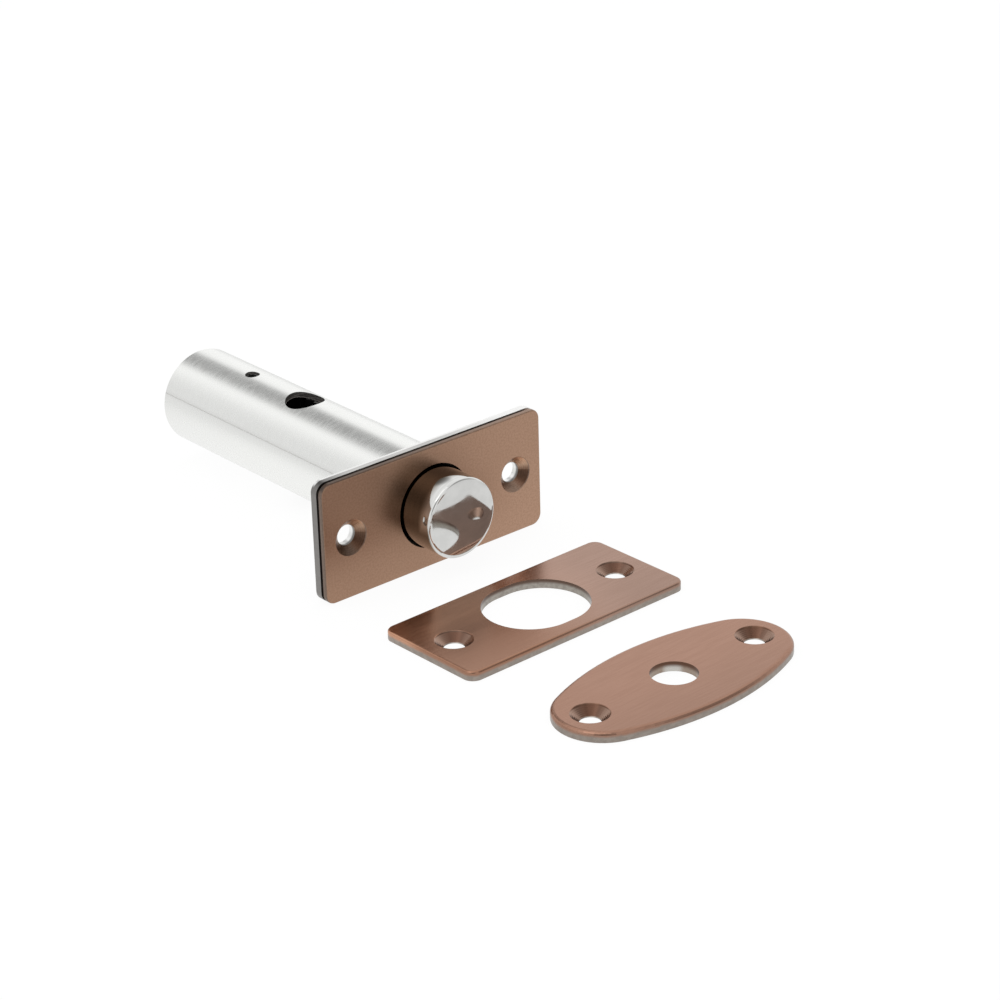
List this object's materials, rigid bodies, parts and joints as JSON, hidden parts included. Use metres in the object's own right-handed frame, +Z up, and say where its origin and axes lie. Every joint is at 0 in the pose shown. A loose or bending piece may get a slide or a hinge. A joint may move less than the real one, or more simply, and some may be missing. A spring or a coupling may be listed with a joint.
{
  "type": "rack bolt",
  "caption": "Mortice rack bolt: a round bolt that a splined key racks out of a tube behind a flat forend, with its keep plate and oval key plate.",
  "frame": {"origin": "centre of the forend's front face, on the bolt's axis", "axes": "+X along the forend, +Y back along the barrel, +Z up; the bolt throws towards -Y"},
  "size_m": [0.0545, 0.1556, 0.0248],
  "materials": {
    "copper_finish": "steel with a brushed antique copper plating, satin, raw grey on the cut edges",
    "bright_steel": "bright zinc plated, fine turned grain",
    "dark_steel": "oiled spring steel",
    "polished_plate": "polished bright nickel"
  },
  "bodies": {
    "case": {"cover_plate": "copper_finish", "forend": "bright_steel", "barrel": "bright_steel", "guide_pin": "dark_steel", "end_plug": "bright_steel", "keep_plate": "copper_finish", "key_plate": "copper_finish"},
    "bolt": {"bolt": "polished_plate", "bow_spring": "dark_steel"}
  },
  "joints": [
    {"name": "bolt_slide", "type": "slide", "parent": "case", "child": "bolt", "axis": [0, -1, 0], "range_m": [-0.0086, 0.0034]}
  ]
}
